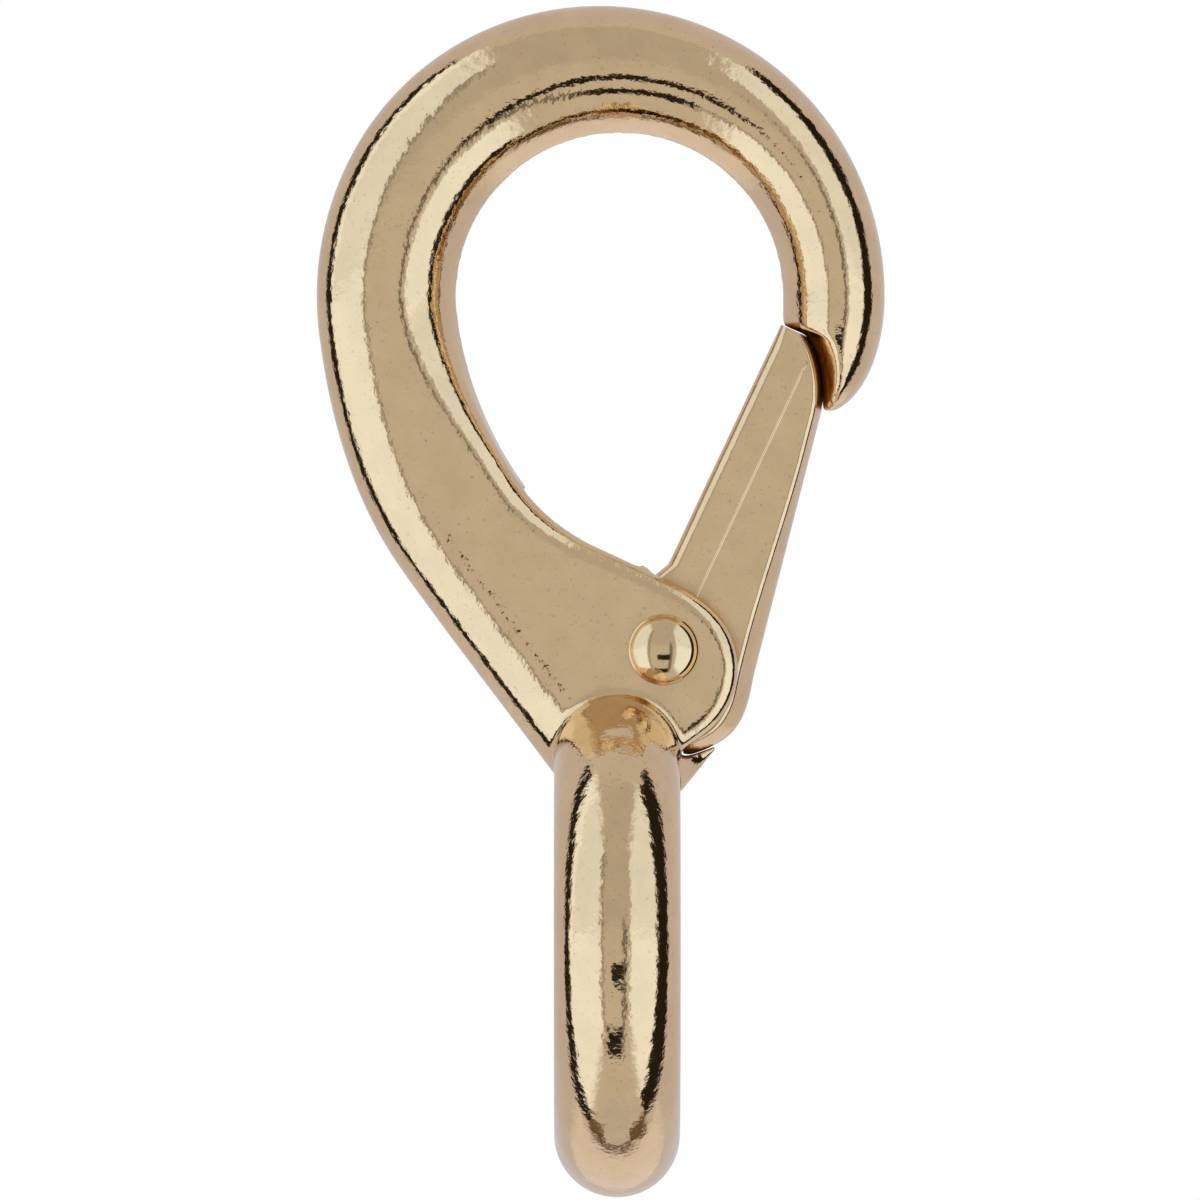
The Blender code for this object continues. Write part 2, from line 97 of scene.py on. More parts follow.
# Gate
GAP = 0.0003
GATE_FLANGE, GATE_WEB = 0.0011, 0.0012
GATE_INSIDE, GATE_OUTSIDE = 0.00243, 0.00725
GATE_LOBE, GATE_HEEL = 0.0056, 0.00835
HEEL_START, HEEL_END = radians(-56), radians(-79)
LOBE_BLEND, LOBE_SHORT = radians(9), radians(25)    # the lobe's arc starts late and ends before the heel
GATE_TOP_DROP, TIP_INSET = 0.00224, 0.0001
TIP_RADIUS, TIP_REACH, TIP_DROP = 0.0080, 0.00315, 0.00735
TIP_EASE, HEEL_EASE = radians(1.2), 0.00018
GATE_INNER_EDGE, GATE_OUTER_EDGE = 0.00095, 0.0005  # rounding of the two edges of its face
WALL_LEAN, WALL_LEAN_FROM, WALL_LEAN_OVER = (0.0004, 0.0010), 0.25, 0.45
# The raised line down its face, offset from the pivot; ends and fade are shares of the gate's length.
LINE_WIDTH, LINE_HEIGHT, LINE_OFFSET = 0.00018, 0.00004, 0.00057
LINE_ENDS, LINE_FADE = (0.06, 0.68), 0.02

# Rivet and spring
RIVET_RADIUS = 0.0016
RIVET_SEAT, RIVET_COLLAR, RIVET_DOME = 0.00004, 0.00024, 0.925    # the dome is a share of the head
WIRE_RADIUS, COIL_RADIUS, COIL_TURNS = 0.000275, 0.0023, 2
COIL_CLEAR = 0.0002
LEG_ON_FLOOR, LEG_ON_GATE = 0.46, 0.0090

# Fineness of the meshes
CORNER_STEPS = 14
BODY_VOXEL, BODY_EASING = 0.00026, 7
GATE_SECTIONS = 120
LEG_STEPS = 12
MM_PER_METRE = 1000

# Looks: colours are linear, lengths are in metres, noise scales are per metre
# The hollow colours are painted shade: an orange-brown darkening that ambient occlusion mixes into
# recesses.
GOLD, HOLLOW_SHADE_GOLD = (0.82, 0.61, 0.37), (0.52, 0.27, 0.085)
STEEL, HOLLOW_SHADE_STEEL = (0.55, 0.54, 0.52), (0.20, 0.18, 0.16)
MOTTLE_NOISE, SPECK_NOISE, DULL_NOISE, WAVE_NOISE, PEEL_NOISE = 420, 3400, 900, 330, 1500
SPECK_SHADE = 0.72
HOLLOW_DEPTH, HOLLOW_DULLNESS = 0.0026, 0.34
ROOM, REAR = (0.63, 0.62, 0.60), (0.62, 0.60, 0.64)
BOX, DARK, BROWN, BLUSH = (1.03, 1.17, 1.33), (0.02, 0.015, 0.01), (0.16, 0.11, 0.07), (0.80, 0.78, 0.82)
PALE_FLOOR = (0.93, 0.92, 0.90)

LOOP_CENTRE = Vector((0.0, -LOOP_RADIUS))
SLOT_HALF = HALF - EAR_THICKNESS
GATE_HALF = SLOT_HALF - GAP
THROAT_INNER = INNER_SHARE[1] * THROAT_WIDTH
CHANNEL_HALF = GATE_HALF - GATE_FLANGE

joint = frame["joints"][0]
PIVOT = Vector((joint["pos_m"][0], joint["pos_m"][2]))
body_low, body_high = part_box("hook_body")
rivet_low, rivet_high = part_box("pivot_rivet")
EYE_OUTER = (body_high.y - body_low.y) / 2
EYE_TOP = PIVOT + EYE_FROM_PIVOT
EYE_CENTRE = Vector((EYE_TOP.x, body_low.z + EYE_OUTER))
TIP_CENTRE = LOOP_CENTRE + Vector((LOOP_RADIUS + TIP_REACH - TIP_RADIUS, -TIP_DROP))
GATE_CORNER = LOOP_CENTRE + Vector((LOOP_RADIUS - TIP_INSET, -GATE_TOP_DROP))
GATE_REACH = (GATE_CORNER - PIVOT).length


# ---------------------------------------------------------------- plane geometry


def polar(centre, radius, angle):
    return centre + radius * Vector((cos(angle), sin(angle)))


def arc(centre, radius, start, end, steps):
    return [polar(centre, radius, start + (end - start) * i / steps) for i in range(steps + 1)]


def smooth_step(t):
    t = min(max(t, 0.0), 1.0)
    return t * t * (3 - 2 * t)


def mix(a, b, t):
    return a + (b - a) * t


def in_space(point, y):
    return Vector((point.x, y, point.y))


def walk(start, heading, moves):
    """Points, headings and arc centres along a path.

    The moves are arcs (radius, turn, steps) and straights (None, length, steps).
    """
    points, headings, centres = [Vector(start)], [heading], []
    for radius, amount, steps in moves:
        origin, first = points[-1], headings[-1]
        if radius is None:
            forward = Vector((cos(first), sin(first)))
            points += [origin + forward * amount * i / steps for i in range(1, steps + 1)]
            headings += [first] * steps
            continue
        side = 1 if amount > 0 else -1
        centre = origin + side * radius * Vector((-sin(first), cos(first)))
        centres.append(centre)
        for i in range(1, steps + 1):
            turned = first + amount * i / steps
            points.append(centre - side * radius * Vector((-sin(turned), cos(turned))))
            headings.append(turned)
    return points, headings, centres


NOSE_STEPS, LOOP_STEPS, BACK_STEPS, EAR_STEPS = 24, 110, 20, 24
BAR_STEPS = NOSE_STEPS + LOOP_STEPS + BACK_STEPS
INNER, HEADINGS, CENTRES = walk(
    LOOP_CENTRE + Vector((LOOP_RADIUS, -NOSE_LENGTH)),
    pi / 2,
    [
        (None, NOSE_LENGTH, NOSE_STEPS),
        (LOOP_RADIUS, LOOP_TURN, LOOP_STEPS),
        (BACK_RADIUS, BACK_TURN, BACK_STEPS),
        (THROAT_RADIUS, THROAT_TURN, 14),
        (None, EAR_RUN, 10),
        (EAR_SHOULDER_RADIUS, EAR_SHOULDER_TURN, 8),
        (EAR_TIP_RADIUS, EAR_TIP_TURN, 30),
        (None, EAR_FOOT, 5),
    ],
)
THROAT = INNER[BAR_STEPS]
THROAT_OUT = Vector((sin(HEADINGS[BAR_STEPS]), -cos(HEADINGS[BAR_STEPS])))
THROAT_DOWN = Vector((-THROAT_OUT.y, THROAT_OUT.x))
SLOT_START = THROAT + THROAT_DOWN * SLOT_BELOW


def above_pivot(x, radius):
    """The point at x on the upper half of a circle round the pivot."""
    return Vector((x, PIVOT.y + sqrt(radius**2 - (x - PIVOT.x) ** 2)))


def tip_top(centre, radius, reach):
    """The angle on a circle where it meets a circle of radius reach round the pivot."""
    apart = centre - PIVOT
    along = (apart.length_squared + radius**2 - reach**2) / (2 * apart.length)
    return atan2(-apart.y, -apart.x) + acos(along / radius)


# ---------------------------------------------------------------- mesh helpers


def add(name, mesh):
    obj = bpy.data.objects.new(name, mesh)
    bpy.context.scene.collection.objects.link(obj)
    return obj


def shape(name, bm):
    """An object in millimetres, the size that Booleans and remeshing work well at."""
    bmesh.ops.recalc_face_normals(bm, faces=bm.faces)
    bmesh.ops.scale(bm, vec=[MM_PER_METRE] * 3, verts=bm.verts)
    mesh = bpy.data.meshes.new(name)
    bm.to_mesh(mesh)
    bm.free()
    return add(name, mesh)


def loft(name, rings):
    """A closed skin over rings of the same number of points, flat at both ends."""
    bm = bmesh.new()
    rows = [[bm.verts.new(point) for point in ring] for ring in rings]
    count = len(rows[0])
    for near, far in zip(rows, rows[1:]):
        for i in range(count):
            bm.faces.new((near[i], near[(i + 1) % count], far[(i + 1) % count], far[i]))
    bm.faces.new(rows[0])
    bm.faces.new(rows[-1])
    return shape(name, bm)


def plate(name, outline, half):
    """A flat outline in the XZ plane, half its thickness either side of Y = 0."""
    return loft(name, [[in_space(p, y) for p in outline] for y in (-half, half)])


def layered(name, outline_at, levels):
    """A solid through outlines in the XZ plane that change with Y."""
    return loft(name, [[in_space(p, y) for p in outline_at(y)] for y in levels])


def evaluated_mesh(obj):
    bpy.context.view_layer.update()
    return bpy.data.meshes.new_from_object(obj.evaluated_get(bpy.context.evaluated_depsgraph_get()))


def apply_modifiers(obj):
    mesh = evaluated_mesh(obj)
    obj.modifiers.clear()
    old, obj.data = obj.data, mesh
    bpy.data.meshes.remove(old)


def combine(obj, operation, other):
    """Joins or cuts with EXACT, and drops the other shape."""
    modifier = obj.modifiers.new("combine", "BOOLEAN")
    modifier.operation = operation
    modifier.object = other
    modifier.solver = "EXACT"
    apply_modifiers(obj)
    bpy.data.objects.remove(other, do_unlink=True)


def in_metres(obj):
    obj.data.transform(Matrix.Scale(1 / MM_PER_METRE, 4))


def cast_surface(obj, voxel, smoothing):
    """An even skin of fine quads, its sharp edges eased as a casting's are, back in metres."""
    remesh = obj.modifiers.new("skin", "REMESH")
    remesh.mode = "VOXEL"
    remesh.voxel_size = voxel * MM_PER_METRE
    ease = obj.modifiers.new("ease", "SMOOTH")
    ease.factor = 0.5
    ease.iterations = smoothing
    apply_modifiers(obj)
    in_metres(obj)
    obj.data.shade_smooth()


def drill(radius):
    """A round cutter along the pivot."""
    bm = bmesh.new()
    bmesh.ops.create_cone(bm, cap_ends=True, segments=96, radius1=radius, radius2=radius, depth=4 * HALF,
                          matrix=Matrix.Translation(in_space(PIVOT, 0)) @ Matrix.Rotation(pi / 2, 4, "X"))
    return shape("drill", bm)


# ---------------------------------------------------------------- casting


def inner_profile(across, half, to_cheek):
    """From mid-plane to face: a blunt wedge on the bar, a square edge with a fillet on the ears."""
    wedge = [p.to_2d() for p in interpolate_bezier(
        Vector((0, 0, 0)), Vector((0.17 * across, 0.56 * half, 0)),
        Vector((0.48 * across, half, 0)), Vector((across, half, 0)), 2 * CORNER_STEPS)]
    edge = []
    wall = CORNER_STEPS // 2
    for i in range(wall):
        edge.append(Vector((0.0, (half - EAR_EDGE) * i / wall)))
    rest = 2 * CORNER_STEPS - wall
    for i in range(rest):
        a = pi / 2 * i / (rest - 1)
        edge.append(Vector((EAR_EDGE * (1 - cos(a)), half - EAR_EDGE * (1 - sin(a)))))
    return [mix(w, e, to_cheek) for w, e in zip(wedge, edge)]


def section(inner, outer, half, to_cheek, inner_across, outer_across, edge_scale=1.0):
    """A ring across the bar, thickness along Y; edge_scale widens the fillet on a slanted section."""
    width = (outer - inner).length
    across = (outer - inner) / width
    front = [(p.x * mix(1.0, edge_scale, to_cheek), p.y)
             for p in inner_profile(inner_across, half, to_cheek)]
    for i in range(2 * CORNER_STEPS):
        a = pi / 2 * i / (2 * CORNER_STEPS - 1)
        front.append((width - outer_across * (1 - sin(a)), half * cos(a)))
    front = front[1:-1]
    ring = [in_space(inner + across * u, -y) for u, y in front]
    start = [in_space(inner, 0)]
    end = [in_space(outer, 0)]
    return start + ring + end + [in_space(inner + across * u, y) for u, y in reversed(front)]


def bar_sections():
    """Sections from the nose's end round the loop to the start of the slot."""
    rings = []
    for i in range(BAR_STEPS + 1):
        inner, heading = INNER[i], HEADINGS[i]
        outward = Vector((sin(heading), -cos(heading)))
        round_loop = heading - pi / 2
        width = mix(NOSE_WIDTH, BACK_WIDTH, smooth_step(round_loop / WIDEN_ANGLE))
        width = mix(width, THROAT_WIDTH, smooth_step((round_loop - LOOP_TURN) / BACK_TURN))
        down_nose = max(0.0, 1 - i / NOSE_STEPS)
        blunt = (1 - sqrt(1 - NOSE_ROUNDNESS * down_nose**2)) / (1 - sqrt(1 - NOSE_ROUNDNESS))
        width = mix(width, NOSE_TIP_WIDTH, blunt)
        half = mix(HALF, NOSE_TIP_HALF, blunt)
        to_cheek = RIDGE_LEFT * smooth_step((round_loop - LOOP_TURN + SQUARE_AHEAD) / BACK_TURN)
        around = smooth_step(round_loop / WIDEN_ANGLE)
        inner_across = mix(*INNER_SHARE, around) * width
        outer_across = mix(*OUTER_SHARE, around) * width
        outer_across = mix(outer_across, CHEEK_OUTER, smooth_step((round_loop - LOOP_TURN) / BACK_TURN))
        rings.append(section(inner, inner + outward * width, half, to_cheek, inner_across, outer_across))
    return rings


def cheek_sections():
    """Sections fanned from the ears' inner edge to the straight back, ending inside the eye's bar."""
    count = len(INNER) - 1 - BAR_STEPS
    start = THROAT + THROAT_OUT * THROAT_WIDTH
    end = EYE_TOP + Vector((-EYE_BAR / 2, -0.19 * EYE_BAR))
    reach = 0.35 * (end - start).length
    before_end = end - (end - start).normalized() * reach
    back = [p.to_2d() for p in interpolate_bezier(
        start.to_3d(), (start + THROAT_DOWN * reach).to_3d(), before_end.to_3d(), end.to_3d(), count + 1)]
    rings = []
    for i in range(1, count + 1):
        inner, outer = INNER[BAR_STEPS + i], back[i]
        line = (outer - inner).normalized()
        edge_way = Vector((cos(HEADINGS[BAR_STEPS + i]), sin(HEADINGS[BAR_STEPS + i])))
        slant = max(abs(line.cross(edge_way)), LEAST_SLANT)
        back_slant = max(abs(line.cross((back[i] - back[i - 1]).normalized())), LEAST_SLANT)
        square = mix(RIDGE_LEFT, 1.0, smooth_step(i / EAR_STEPS))
        outer_round = CHEEK_OUTER / back_slant
        rings.append(section(inner, outer, HALF, square, THROAT_INNER, outer_round, 1 / slant))
    inside_left = EYE_TOP + EYE_BAR * Vector((-0.32, -0.28))
    inside_right = EYE_TOP + EYE_BAR * Vector((0.32, -0.18))
    rings.append(section(inside_right, inside_left, 0.96 * HALF, 1.0, THROAT_INNER, 0.3 * EYE_BAR))
    return rings


def nose_cutter():
    """The curved cut that the gate's tip closes into, a groove that flares out to the faces."""
    left = LOOP_RADIUS - PAST_SIDE
    below = LOOP_CENTRE.y - NOSE_LENGTH - PAST_END

    def outline(y):
        flare = CUT_FLARE * (y / HALF) ** 2 - TIP_SEAT * sin(pi * min(abs(y) / GATE_HALF, 1.0))
        centre = TIP_CENTRE + Vector((flare, 0))
        radius = TIP_RADIUS + TIP_GAP
        reach = GATE_REACH + TIP_GAP + 0.3 * flare
        curve = arc(centre, radius, 0, tip_top(centre, radius, reach), 30)
        last = curve[-1].x
        top = [above_pivot(mix(last, left, share / 8), reach) for share in range(1, 9)]
        return [Vector((left, below)), Vector((curve[0].x, below)), *curve, *top]

    return layered("nose_cutter", outline, [HALF * (i / 10) for i in range(-12, 13)])


def slot_floor():
    """The slot's upper step, and the angle at which its straight floor meets the arc round the lobe."""
    step = SLOT_START + THROAT_OUT * SLOT_STEP
    from_pivot = step - PIVOT
    touch = atan2(from_pivot.y, from_pivot.x) + acos((GATE_LOBE + SLOT_MARGIN) / from_pivot.length)
    return step, touch % (2 * pi)


def slot_cutter():
    """The space between the ears, with a stop that the gate's heel rests on."""
    step, touch = slot_floor()
    heel = GATE_HEEL + HEEL_GAP
    heel_stop = 2 * pi + HEEL_END - STOP_BEHIND_HEEL
    past_right = CENTRES[-1].x + EAR_TIP_RADIUS + PAST_SIDE
    outline = [SLOT_START - THROAT_OUT * SLOT_STEP, step]
    outline += arc(PIVOT, GATE_LOBE + SLOT_MARGIN, touch, heel_stop, 24)
    outline += arc(PIVOT, heel, heel_stop, 2 * pi + SLOT_TOP_ANGLE, 20)
    outline += [Vector((past_right, outline[-1].y)), Vector((past_right, THROAT.y)),
                Vector((PIVOT.x, THROAT.y + SLOT_STEP))]
    return plate("slot_cutter", outline, SLOT_HALF)


def neck_web():
    """The web from the eye out to the heel, thin in the middle and scooped out to the ears."""
    tip = polar(PIVOT, GATE_HEEL + HEEL_GAP, WEB_TIP_ANGLE)
    root_high = EYE_TOP + EYE_BAR * Vector((0.30, 0.22))
    root_low = EYE_TOP + EYE_BAR * Vector((0.30, -0.38))
    side_low = EYE_TOP + EYE_BAR * Vector((0.505, -0.33))
    side_high = EYE_TOP + EYE_BAR * Vector((0.505, 0.02))
    thin, wide = WEB_EDGE / 2, SLOT_HALF + WEB_INTO_EARS

    def outline(y):
        scoop = sqrt(max(0.0, (abs(y) - thin) / (wide - thin)))
        return [root_high, mix(tip, side_high, scoop), mix(mix(tip, side_low, 0.45), side_low, scoop),
                side_low, root_low]

    steps = [thin + (wide - thin) * (i / 12) ** 1.5 for i in range(13)]
    return layered("neck_web", outline, [-s for s in reversed(steps)] + steps)


def eye_ring():
    """The eye, a round bar turned about an axis along X."""
    rings = []
    major, minor = EYE_OUTER - EYE_BAR / 2, EYE_BAR / 2
    bm = bmesh.new()
    turns, sides = 240, 96
    for i in range(turns):
        a = 2 * pi * i / turns
        away = Vector((0, cos(a), sin(a)))
        ring = []
        for k in range(sides):
            b = 2 * pi * k / sides
            from_axis = away * (major + minor * cos(b))
            place = in_space(EYE_CENTRE, 0) + from_axis + Vector((minor * sin(b), 0, 0))
            ring.append(bm.verts.new(place))
        rings.append(ring)
    for i in range(turns):
        for k in range(sides):
            near, far = rings[i], rings[(i + 1) % turns]
            bm.faces.new((near[k], near[(k + 1) % sides], far[(k + 1) % sides], far[k]))
    return shape("eye_ring", bm)


def casting_nub():
    """A small bead of casting left on the front ear's edge, above the rivet."""
    bm = bmesh.new()
    place = in_space(PIVOT + NUB_FROM_PIVOT, -0.6 * HALF)
    bmesh.ops.create_uvsphere(bm, u_segments=32, v_segments=16, radius=NUB_RADIUS,
                              matrix=Matrix.Translation(place) @ Matrix.Diagonal(NUB_STRETCH))
    return shape("nub", bm)


def hook_casting():
    body = loft("hook_casting", bar_sections() + cheek_sections())
    combine(body, "UNION", eye_ring())
    combine(body, "UNION", neck_web())
    combine(body, "UNION", casting_nub())
    combine(body, "DIFFERENCE", slot_cutter())
    combine(body, "DIFFERENCE", drill(RIVET_RADIUS + GAP))
    combine(body, "DIFFERENCE", nose_cutter())
    cast_surface(body, BODY_VOXEL, BODY_EASING)
    return body


# ---------------------------------------------------------------- gate


def gate_leans():
    """How far the gate's inner edge and its outer face lean from vertical."""
    to_corner = GATE_CORNER - PIVOT
    inside = atan2(to_corner.x, to_corner.y) + asin(GATE_INSIDE / to_corner.length)
    to_low = TIP_CENTRE + Vector((TIP_RADIUS, 0)) - PIVOT
    return inside, atan2(to_low.x, to_low.y) - asin(GATE_OUTSIDE / to_low.length)


INSIDE_LEAN, OUTSIDE_LEAN = gate_leans()
GATE_INWARD = Vector((-cos(INSIDE_LEAN), sin(INSIDE_LEAN)))
GATE_UPWARD = Vector((sin(INSIDE_LEAN), cos(INSIDE_LEAN)))


def gate_back(inset):
    """The gate's outer face from its tip down round its heel, moved inwards by inset."""
    rise = tip_top(TIP_CENTRE, TIP_RADIUS - inset, GATE_REACH - inset) - TIP_EASE
    points = arc(TIP_CENTRE, TIP_RADIUS - inset, rise, -OUTSIDE_LEAN, 16)
    start, tangent = points[-1], polar(PIVOT, GATE_OUTSIDE - inset, -OUTSIDE_LEAN)
    points += [mix(start, tangent, i / 20) for i in range(1, 20)]
    for i in range(17):
        angle = mix(-OUTSIDE_LEAN, HEEL_START, i / 16)
        points.append(polar(PIVOT, mix(GATE_OUTSIDE, GATE_HEEL, smooth_step(i / 16)) - inset, angle))
    points += arc(PIVOT, GATE_HEEL - inset, HEEL_START, HEEL_END, 8)[1:-1]
    return [*points, polar(PIVOT, GATE_HEEL - inset - HEEL_EASE, HEEL_END)]


def gate_inside():
    """The gate's inner edge from its tip down to the lobe and most of the way round it."""
    meet = PIVOT + GATE_INWARD * GATE_INSIDE + GATE_UPWARD * sqrt(GATE_LOBE**2 - GATE_INSIDE**2)
    lobe_start = atan2((meet - PIVOT).y, (meet - PIVOT).x)
    return [GATE_CORNER, meet + GATE_UPWARD * 0.0011,
            *arc(PIVOT, GATE_LOBE, lobe_start + LOBE_BLEND, 2 * pi + HEEL_END - LOBE_SHORT, 60)]


def spread(path, count):
    """count points at even spacing along the path."""
    lengths = [0.0]
    for a, b in zip(path, path[1:]):
        lengths.append(lengths[-1] + (b - a).length)
    points, k = [], 0
    for i in range(count):
        at = lengths[-1] * i / (count - 1)
        while k < len(path) - 2 and lengths[k + 1] < at:
            k += 1
        points.append(mix(path[k], path[k + 1], (at - lengths[k]) / (lengths[k + 1] - lengths[k])))
    return points


def gate_ring(left, right, share):
    """A section of the gate: rounded edges, a raised line on the face, the outer wall leaning back.

    The share says how far down the gate it is.
    """
    width = (right - left).length
    across = (right - left) / width
    small = min(GATE_INNER_EDGE, 0.25 * width)
    lean = min(mix(*WALL_LEAN, smooth_step((share - WALL_LEAN_FROM) / WALL_LEAN_OVER)), 0.3 * width)
    large = min(GATE_OUTER_EDGE, 0.25 * width)
    edge = width - lean
    half_line = min(LINE_WIDTH / 2, 0.3 * (edge - large - small))
    line = GATE_INWARD.dot(PIVOT - GATE_INWARD * LINE_OFFSET - left) / GATE_INWARD.dot(across)
    line = min(max(line, small + 1.2 * half_line), edge - large - 1.2 * half_line)
    raised = (LINE_HEIGHT * smooth_step((LINE_ENDS[1] - share) / LINE_FADE)
              * smooth_step((share - LINE_ENDS[0]) / LINE_FADE))
    front = [(0.0, 0.0)]
    for i in range(11):
        a = pi / 2 * i / 10
        front.append((small * (1 - cos(a)), GATE_HALF - small * (1 - sin(a))))
    for step, up in ((-1.15, 0), (-1, 0), (-0.36, 1), (0.36, 1), (1, 0), (1.15, 0)):
        front.append((line + step * half_line, GATE_HALF + up * raised))
    for i in range(13):
        a = radians(66) * i / 12
        front.append((edge - large * (1 - sin(a)), GATE_HALF - large * (1 - cos(a))))
    wall_u, wall_depth = front[-1]
    for i in range(1, 7):
        t = i / 6
        front.append((mix(wall_u, width, 1 - (1 - t) ** 1.6), mix(wall_depth, 0.0, t)))
    return ([in_space(left + across * u, -y) for u, y in front]
            + [in_space(left + across * u, y) for u, y in reversed(front[1:-1])])


def heel_cutter():
    """Takes what the sections leave beyond the heel's end, biting a hair into the lobe."""
    behind = HEEL_END - radians(60)
    outline = arc(PIVOT, GATE_LOBE - 0.00002, behind, HEEL_END, 40)
    outline += arc(PIVOT, 2 * GATE_LOBE, HEEL_END, behind, 12)
    return plate("heel_cutter", outline, 2 * GATE_HALF)


def channel_cutter():
    """Hollows the gate between its flanges and leaves its web, open towards the inner edge."""
    outline = gate_back(GATE_WEB)
    outline += [polar(PIVOT, GATE_HEEL - GATE_WEB, HEEL_END - radians(12)),
                polar(PIVOT, 2 * GATE_LOBE, radians(-120)), polar(PIVOT, 2 * GATE_LOBE, radians(170)),
                GATE_CORNER + GATE_INWARD * GATE_INSIDE - GATE_UPWARD * GATE_WEB * 1.6]
    return plate("channel_cutter", outline, CHANNEL_HALF)


def gate_piece():
    pairs = zip(spread(gate_inside(), GATE_SECTIONS), spread(gate_back(0.0), GATE_SECTIONS))
    rings = [gate_ring(a, b, i / (GATE_SECTIONS - 1)) for i, (a, b) in enumerate(pairs)]
    gate = loft("gate_channel", rings)
    combine(gate, "DIFFERENCE", heel_cutter())
    combine(gate, "DIFFERENCE", channel_cutter())
    combine(gate, "DIFFERENCE", drill(RIVET_RADIUS + GAP))
    in_metres(gate)
    gate.data.shade_smooth()
    gate.data.set_sharp_from_angle(angle=radians(32))
    return gate


# ---------------------------------------------------------------- rivet and spring


def rivet_piece():
    """A rivet with a domed head and a fine collar on each cheek, turned about the pivot."""
    head = (rivet_high.x - rivet_low.x) / 2
    top = (rivet_high.y - rivet_low.y) / 2
    seat, collar, dome = HALF + RIVET_SEAT, RIVET_COLLAR, RIVET_DOME * head
    profile = [(dome * sin(radians(a)), seat + collar + (top - seat - collar) * cos(radians(a)))
               for a in range(0, 89, 3)]
    profile += [(0.955 * head, seat + 0.72 * collar), (0.985 * head, seat + 0.5 * collar),
                (head, seat + 0.2 * collar), (0.985 * head, seat), (RIVET_RADIUS, seat)]
    profile += [(r, -y) for r, y in reversed(profile)]
    steps = 128
    bm = bmesh.new()
    rows = []
    for radius, y in profile:
        if radius < 1e-9:
            rows.append([bm.verts.new((PIVOT.x, y, PIVOT.y))])
            continue
        rows.append([bm.verts.new((PIVOT.x + radius * cos(2 * pi * k / steps), y,
                                   PIVOT.y + radius * sin(2 * pi * k / steps))) for k in range(steps)])
    for a, b in zip(rows, rows[1:]):
        for k in range(steps):
            ring = [a[k % len(a)], a[(k + 1) % len(a)], b[(k + 1) % len(b)], b[k % len(b)]]
            corners = [v for i, v in enumerate(ring) if v not in ring[:i]]
            bm.faces.new(corners)
    bmesh.ops.recalc_face_normals(bm, faces=bm.faces)
    mesh = bpy.data.meshes.new("domed_rivet")
    bm.to_mesh(mesh)
    bm.free()
    mesh.shade_smooth()
    mesh.set_sharp_from_angle(angle=radians(40))
    return add("domed_rivet", mesh)


def tangent_angle(point, side):
    """Where on the coil a straight leg from the point touches it."""
    away = point - PIVOT
    return atan2(away.y, away.x) + side * acos(COIL_RADIUS / away.length)


def spring_piece():
    """The spring's wire, and how far either side of Y = 0 its coil reaches."""
    step, touch = slot_floor()
    floor_low = polar(PIVOT, GATE_LOBE + SLOT_MARGIN, touch)
    off_floor = (floor_low - step).normalized().orthogonal()
    if off_floor.dot(PIVOT - step) < 0:
        off_floor = -off_floor
    clear = WIRE_RADIUS + GAP
    fixed_end = mix(step, floor_low, LEG_ON_FLOOR) + off_floor * clear
    outward = Vector((cos(OUTSIDE_LEAN), -sin(OUTSIDE_LEAN)))
    upward = Vector((sin(OUTSIDE_LEAN), cos(OUTSIDE_LEAN)))
    moving_end = PIVOT + outward * (GATE_OUTSIDE - GATE_WEB - clear) + upward * LEG_ON_GATE
    start = tangent_angle(fixed_end, 1)
    end = tangent_angle(moving_end, -1)
    while end < start + 2 * pi * COIL_TURNS:
        end += 2 * pi
    reach = CHANNEL_HALF - WIRE_RADIUS - COIL_CLEAR
    steps = round(degrees(end - start) / 5)
    first, last = polar(PIVOT, COIL_RADIUS, start), polar(PIVOT, COIL_RADIUS, end)
    path = [in_space(mix(fixed_end, first, i / LEG_STEPS), -reach) for i in range(LEG_STEPS)]
    for i in range(steps + 1):
        y = mix(-reach, reach, i / steps)
        path.append(in_space(polar(PIVOT, COIL_RADIUS, mix(start, end, i / steps)), y))
    path += [in_space(mix(last, moving_end, i / LEG_STEPS), reach) for i in range(1, LEG_STEPS + 1)]

    curve = bpy.data.curves.new("spring_wire", "CURVE")
    curve.dimensions = "3D"
    curve.bevel_depth = WIRE_RADIUS
    curve.bevel_resolution = 4
    curve.use_fill_caps = True
    spline = curve.splines.new("POLY")
    spline.points.add(len(path) - 1)
    for point, place in zip(spline.points, path):
        point.co = (*place, 1)
    wire = add("spring_wire_path", curve)
    mesh = evaluated_mesh(wire)
    bpy.data.objects.remove(wire, do_unlink=True)
    bm = bmesh.new()
    bm.from_mesh(mesh)
    bmesh.ops.remove_doubles(bm, verts=bm.verts, dist=1e-7)
    bm.to_mesh(mesh)
    bm.free()
    mesh.shade_smooth()
    mesh.set_sharp_from_angle(angle=radians(50))
    return add("spring_wire", mesh), reach


# ---------------------------------------------------------------- materials


def node(tree, kind, **values):
    made = tree.nodes.new(kind)
    for key, value in values.items():
        if hasattr(made, key) and key not in made.inputs:
            setattr(made, key, value)
        else:
            made.inputs[key].default_value = value
    return made


